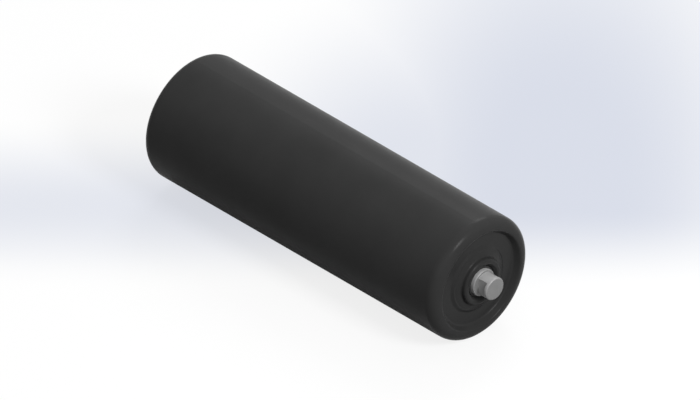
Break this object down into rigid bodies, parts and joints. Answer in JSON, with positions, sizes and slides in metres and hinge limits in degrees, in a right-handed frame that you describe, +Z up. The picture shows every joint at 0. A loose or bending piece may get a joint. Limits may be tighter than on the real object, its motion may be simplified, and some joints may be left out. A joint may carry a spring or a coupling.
{
  "type": "conveyor roller",
  "caption": "Heavy plastic conveyor roller with rounded ends and recessed end caps, turning on sealed ball bearings about a fixed steel axle with flats.",
  "frame": {"origin": "middle of the roller, on the axle's axis", "axes": "+X along the axle, Y across the axle's flats, +Z up"},
  "size_m": [0.4604, 0.1396, 0.1396],
  "materials": {
    "tube": "smooth satin black polyethylene",
    "end_cap": "moulded satin black plastic",
    "cover": "moulded satin black plastic",
    "labyrinth": "moulded black nylon",
    "axle": "bright drawn and turned steel, satin",
    "bearing_steel": "ground and polished steel",
    "cage": "glass-filled nylon",
    "seal": "moulded rubber",
    "spring_steel": "phosphated spring steel"
  },
  "bodies": {
    "axle": {"axle": "axle", "left_bearing_inner_ring": "bearing_steel", "right_bearing_inner_ring": "bearing_steel", "left_labyrinth_stator": "labyrinth", "right_labyrinth_stator": "labyrinth", "left_outer_circlip": "spring_steel", "right_outer_circlip": "spring_steel", "left_inner_circlip": "spring_steel", "right_inner_circlip": "spring_steel"},
    "roller": {"tube": "tube", "left_bearing_housing": "end_cap", "right_bearing_housing": "end_cap", "left_bearing_outer_ring": "bearing_steel", "right_bearing_outer_ring": "bearing_steel", "left_labyrinth_rotor": "labyrinth", "right_labyrinth_rotor": "labyrinth", "left_inner_seal": "seal", "right_inner_seal": "seal", "left_dust_cover": "cover", "right_dust_cover": "cover"},
    "left_cage_set": {"left_bearing_cage": "cage", "left_bearing_balls": "bearing_steel"},
    "right_cage_set": {"right_bearing_cage": "cage", "right_bearing_balls": "bearing_steel"}
  },
  "joints": [
    {"name": "roller_spin", "type": "hinge", "parent": "axle", "child": "roller", "pos_m": [0, 0, 0], "axis": [1, 0, 0], "continuous": true},
    {"name": "left_cage_spin", "type": "hinge", "parent": "axle", "child": "left_cage_set", "pos_m": [0, 0, 0], "axis": [1, 0, 0], "continuous": true},
    {"name": "right_cage_spin", "type": "hinge", "parent": "axle", "child": "right_cage_set", "pos_m": [0, 0, 0], "axis": [1, 0, 0], "continuous": true}
  ],
  "couplings": [
    {"joint": "left_cage_spin", "follows": "roller_spin", "ratio": 0.60353},
    {"joint": "right_cage_spin", "follows": "roller_spin", "ratio": 0.60353}
  ]
}
